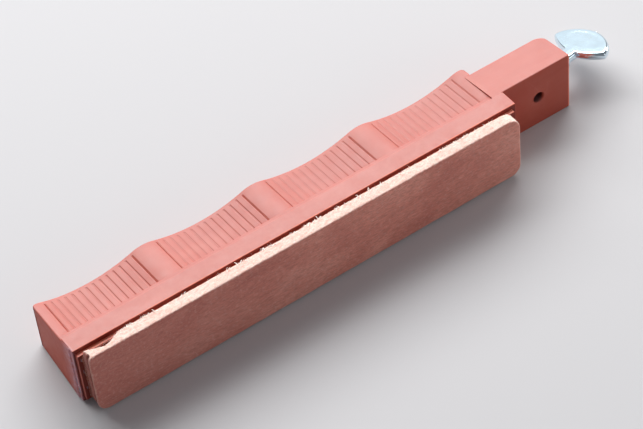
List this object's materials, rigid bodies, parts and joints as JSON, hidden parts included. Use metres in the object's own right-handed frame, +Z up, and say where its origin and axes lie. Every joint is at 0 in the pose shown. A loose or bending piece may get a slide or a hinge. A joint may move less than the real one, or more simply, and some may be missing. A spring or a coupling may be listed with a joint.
{
  "type": "leather stropping hone",
  "caption": "Leather strop on a moulded holder with finger scoops; a tab at one end clamps the foot of a guide rod with a spade thumbscrew.",
  "frame": {"origin": "centre of the guide-rod hole's mouth, on the leather side of the tab", "axes": "+X along the holder towards the thumbscrew; the object lies on its side on a level surface, so +Z is up from that surface and the leather faces -Y leaning 7.54 degrees upwards"},
  "size_m": [0.1319, 0.0225, 0.016],
  "materials": {
    "holder_plastic": "satin moulded terracotta plastic",
    "leather": "undyed, fine lengthwise nap, pale fuzzy cut edge",
    "cement": "dried contact cement, milky",
    "plated_steel": "bright plated, slightly worn",
    "stud_steel": "plated thread"
  },
  "bodies": {
    "strop": {"holder": "holder_plastic", "contact_cement": "cement", "leather_strop": "leather"},
    "screw_stud": {"thumbscrew_stud": "stud_steel"},
    "screw_head": {"thumbscrew_head": "plated_steel"}
  },
  "joints": [
    {"name": "thumbscrew_advance", "type": "slide", "parent": "strop", "child": "screw_stud", "axis": [0.9898, 0.1414, -0.0187], "range_m": [-0.0008, 0.004]},
    {"name": "thumbscrew_turn", "type": "hinge", "parent": "screw_stud", "child": "screw_head", "pos_m": [0.00787, 0.0053, -0.0007], "axis": [0.9898, 0.1414, -0.0187], "range_deg": [-361, 1801]}
  ],
  "couplings": [
    {"joint": "thumbscrew_turn", "follows": "thumbscrew_advance", "rad_per_m": 7854}
  ]
}
